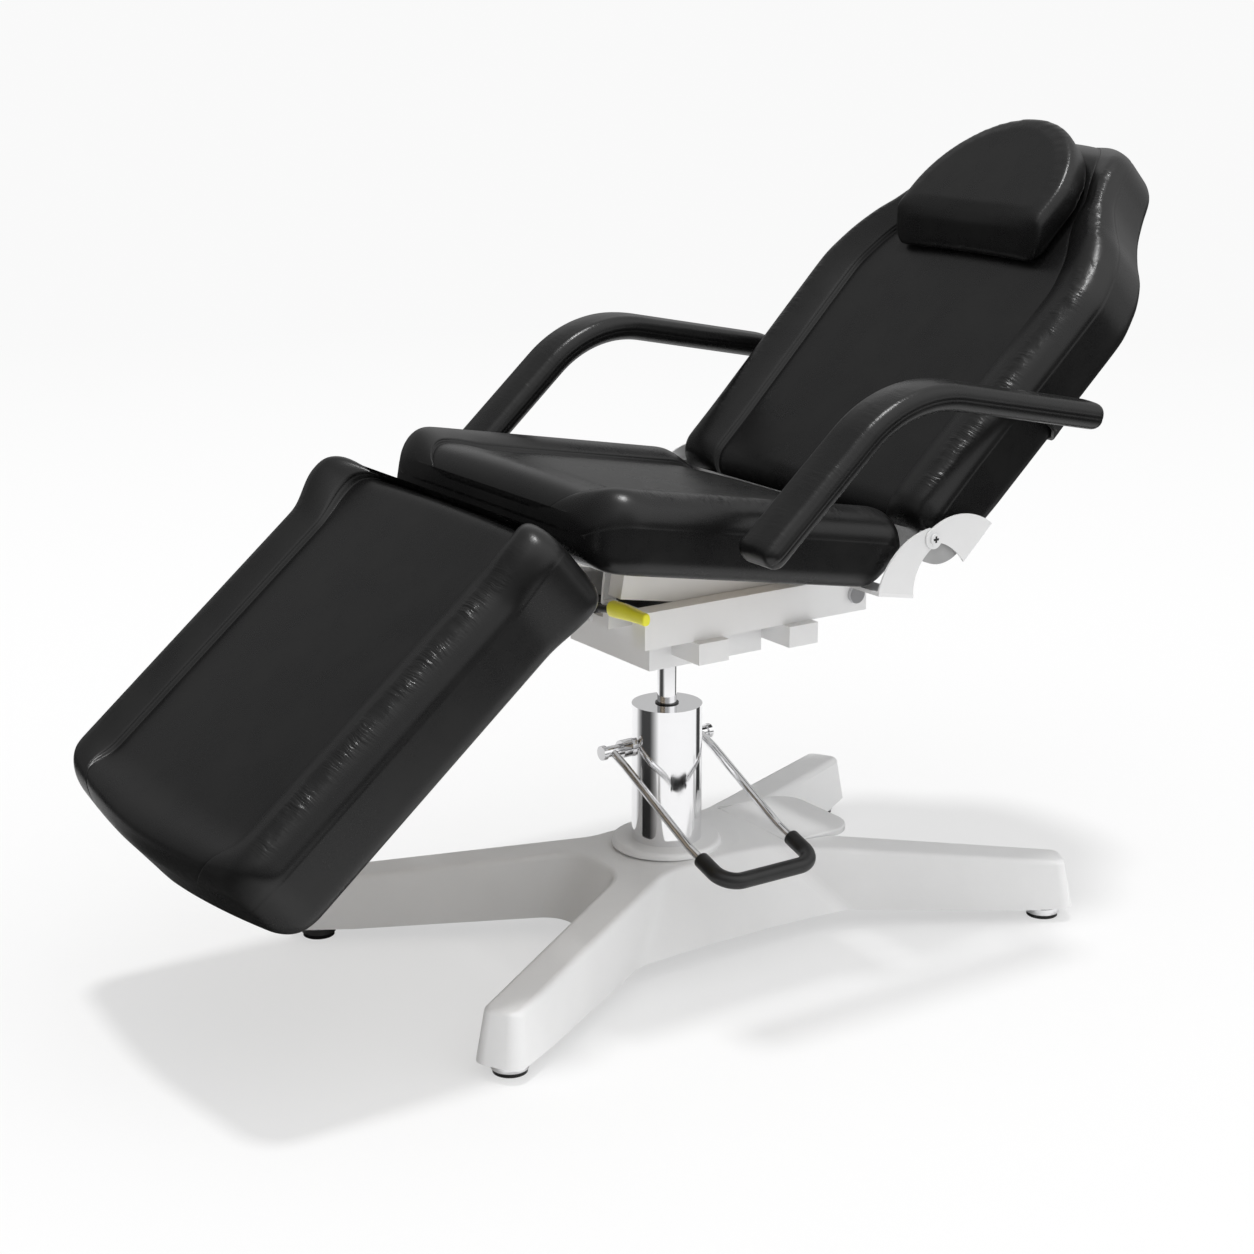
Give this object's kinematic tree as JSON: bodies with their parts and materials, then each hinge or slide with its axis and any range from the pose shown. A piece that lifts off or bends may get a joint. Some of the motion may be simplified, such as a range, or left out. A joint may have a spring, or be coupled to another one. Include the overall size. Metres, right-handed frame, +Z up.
{
  "type": "hydraulic tattoo chair",
  "caption": "Reclining treatment chair on a pumped column with a four-legged cast base, padded seat, back and leg rest, lifting armrests and a half-moon pillow.",
  "frame": {"origin": "on the floor under the middle of the pump cylinder", "axes": "+Z up, +X to the sitter's left, -Y toward the foot end, +Y toward the head"},
  "size_m": [0.81, 1.6069, 1.1496],
  "materials": {
    "pale_paint": "satin",
    "white_plate": "gloss",
    "grey_plastic": "matt",
    "chrome": "polished",
    "steel": "satin",
    "black_rubber": "matt",
    "black_paint": "satin",
    "yellow_grip": "gloss",
    "black_leather": "soft sheen",
    "plywood": "raw"
  },
  "bodies": {
    "base": {"foot_pads": "black_rubber", "foot_rings": "chrome", "foot_studs": "black_paint", "base_casting": "pale_paint", "cylinder_flange": "pale_paint", "cylinder_tube": "chrome", "cylinder_cap": "chrome", "rod_seal": "black_rubber", "pedal_bushes": "chrome"},
    "release_pedal": {"release_pedal": "pale_paint", "release_pedal_pins": "steel"},
    "pump_pedal": {"pedal_shaft": "chrome", "pedal_end_caps": "chrome", "pedal_bar": "chrome", "pedal_grip": "black_rubber"},
    "piston": {"piston_rod": "chrome", "swivel_bearing": "steel"},
    "turntable": {"column_head": "pale_paint", "cross_tubes": "pale_paint", "side_rails": "pale_paint", "tube_plugs": "pale_paint", "front_cross_bar": "pale_paint", "mechanism_tray": "black_paint", "stop_buffers": "black_rubber", "seat_pivot_pins": "steel", "tilt_clamp": "pale_paint", "lever_pin": "steel"},
    "tilt_lever": {"lever_stem": "black_paint", "lever_grip": "yellow_grip"},
    "seat": {"seat_members": "pale_paint", "seat_front_tube": "pale_paint", "seat_rear_bar": "pale_paint", "tilt_quadrant": "pale_paint", "seat_board": "plywood", "seat_cushion": "black_leather", "leg_hinge_ears": "pale_paint", "leg_hinge_pins": "steel", "seat_hinge_plates": "white_plate", "ratchet_housings": "grey_plastic", "hinge_rivets": "black_paint"},
    "leg_rest": {"leg_rest_board": "plywood", "leg_rest_cushion": "black_leather", "leg_side_tubes": "black_paint", "leg_cross_tubes": "black_paint", "leg_knuckles": "steel"},
    "back_rest": {"back_board": "plywood", "back_cushion": "black_leather", "back_side_tubes": "black_paint", "back_lower_bar": "black_paint", "back_top_tube": "black_paint", "arm_cross_bar": "black_paint", "back_hinge_plates": "white_plate", "arm_brackets": "black_paint", "arm_pivot_pins": "steel"},
    "left_arm": {"arm_core_left": "black_paint", "arm_pad_left": "black_leather"},
    "right_arm": {"arm_core_right": "black_paint", "arm_pad_right": "black_leather"},
    "pillow": {"head_pillow": "black_leather"}
  },
  "joints": [
    {"name": "column_lift", "type": "slide", "parent": "base", "child": "piston", "axis": [0, 0, 1], "range_m": [-0.085, 0.06]},
    {"name": "swivel", "type": "hinge", "parent": "piston", "child": "turntable", "pos_m": [0, 0, 0.452], "axis": [0, 0, 1], "continuous": true},
    {"name": "seat_tilt", "type": "hinge", "parent": "turntable", "child": "seat", "pos_m": [0, 0.22, 0.512], "axis": [1, 0, 0], "range_deg": [-4.5, 6.3]},
    {"name": "leg_rest_hinge", "type": "hinge", "parent": "seat", "child": "leg_rest", "pos_m": [0, -0.30409, 0.64473], "axis": [1, 0, 0], "range_deg": [-50.5, 5]},
    {"name": "back_hinge", "type": "hinge", "parent": "seat", "child": "back_rest", "pos_m": [0, 0.2234, 0.6231], "axis": [1, 0, 0], "range_deg": [-54.5, 20]},
    {"name": "left_arm_lift", "type": "hinge", "parent": "back_rest", "child": "left_arm", "pos_m": [0.316, 0.42194, 0.78439], "axis": [1, 0, 0], "range_deg": [-95, 0]},
    {"name": "right_arm_lift", "type": "hinge", "parent": "back_rest", "child": "right_arm", "pos_m": [-0.316, 0.42194, 0.78439], "axis": [1, 0, 0], "range_deg": [-95, 0]},
    {"name": "pillow_slide", "type": "slide", "parent": "back_rest", "child": "pillow", "axis": [0, 0.7193, 0.6947], "range_m": [-0.1, 0]},
    {"name": "tilt_lever_pull", "type": "hinge", "parent": "turntable", "child": "tilt_lever", "pos_m": [0.079, -0.172, 0.535], "axis": [0, 1, 0], "range_deg": [-18, 0], "stiffness_Nm_per_rad": 0.48, "springref_deg": 20.05},
    {"name": "pump_pedal_press", "type": "hinge", "parent": "base", "child": "pump_pedal", "pos_m": [-0.027, 0, 0.283], "axis": [0, 1, 0], "range_deg": [0, 15], "stiffness_Nm_per_rad": 3.9, "springref_deg": -28.65},
    {"name": "release_pedal_press", "type": "hinge", "parent": "base", "child": "release_pedal", "pos_m": [0, 0.1615, 0.1255], "axis": [1, 0, 0], "range_deg": [-6, 0], "stiffness_Nm_per_rad": 3.9, "springref_deg": 22.92}
  ]
}
